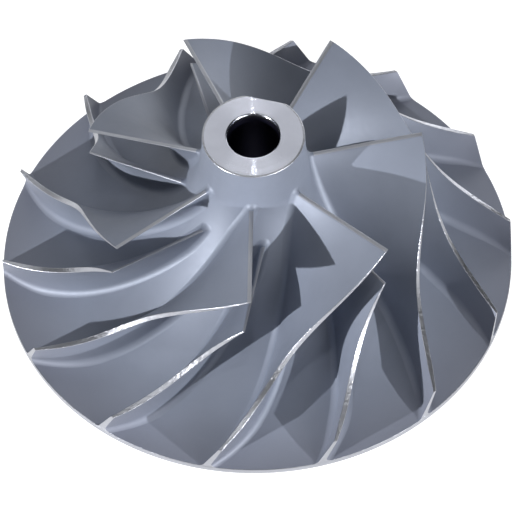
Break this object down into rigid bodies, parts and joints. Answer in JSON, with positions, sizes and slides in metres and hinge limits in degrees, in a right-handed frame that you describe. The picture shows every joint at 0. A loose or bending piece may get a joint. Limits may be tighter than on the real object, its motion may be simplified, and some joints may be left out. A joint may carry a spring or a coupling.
{
  "type": "compressor wheel",
  "caption": "Centrifugal compressor wheel with long and short swept-back blades around a bored hub, on a thin back disc, for a large turbocharger.",
  "frame": {"origin": "middle of the back boss, on the plane that the wheel rests on, on the wheel's axis", "axes": "+Z along the wheel's axis, from the back face to the nose; +Y points away from the picture's camera"},
  "size_m": [0.1, 0.1, 0.0427],
  "materials": {
    "cast_aluminium": "satin as cast or milled faces, with bright turned nose, rim and blade tips"
  },
  "bodies": {
    "root": {"hub_and_back_disc": "cast_aluminium", "long_blade_1": "cast_aluminium", "long_blade_2": "cast_aluminium", "long_blade_3": "cast_aluminium", "long_blade_4": "cast_aluminium", "long_blade_5": "cast_aluminium", "long_blade_6": "cast_aluminium", "long_blade_7": "cast_aluminium", "short_blade_1": "cast_aluminium", "short_blade_2": "cast_aluminium", "short_blade_3": "cast_aluminium", "short_blade_4": "cast_aluminium", "short_blade_5": "cast_aluminium", "short_blade_6": "cast_aluminium", "short_blade_7": "cast_aluminium"}
  },
  "joints": []
}
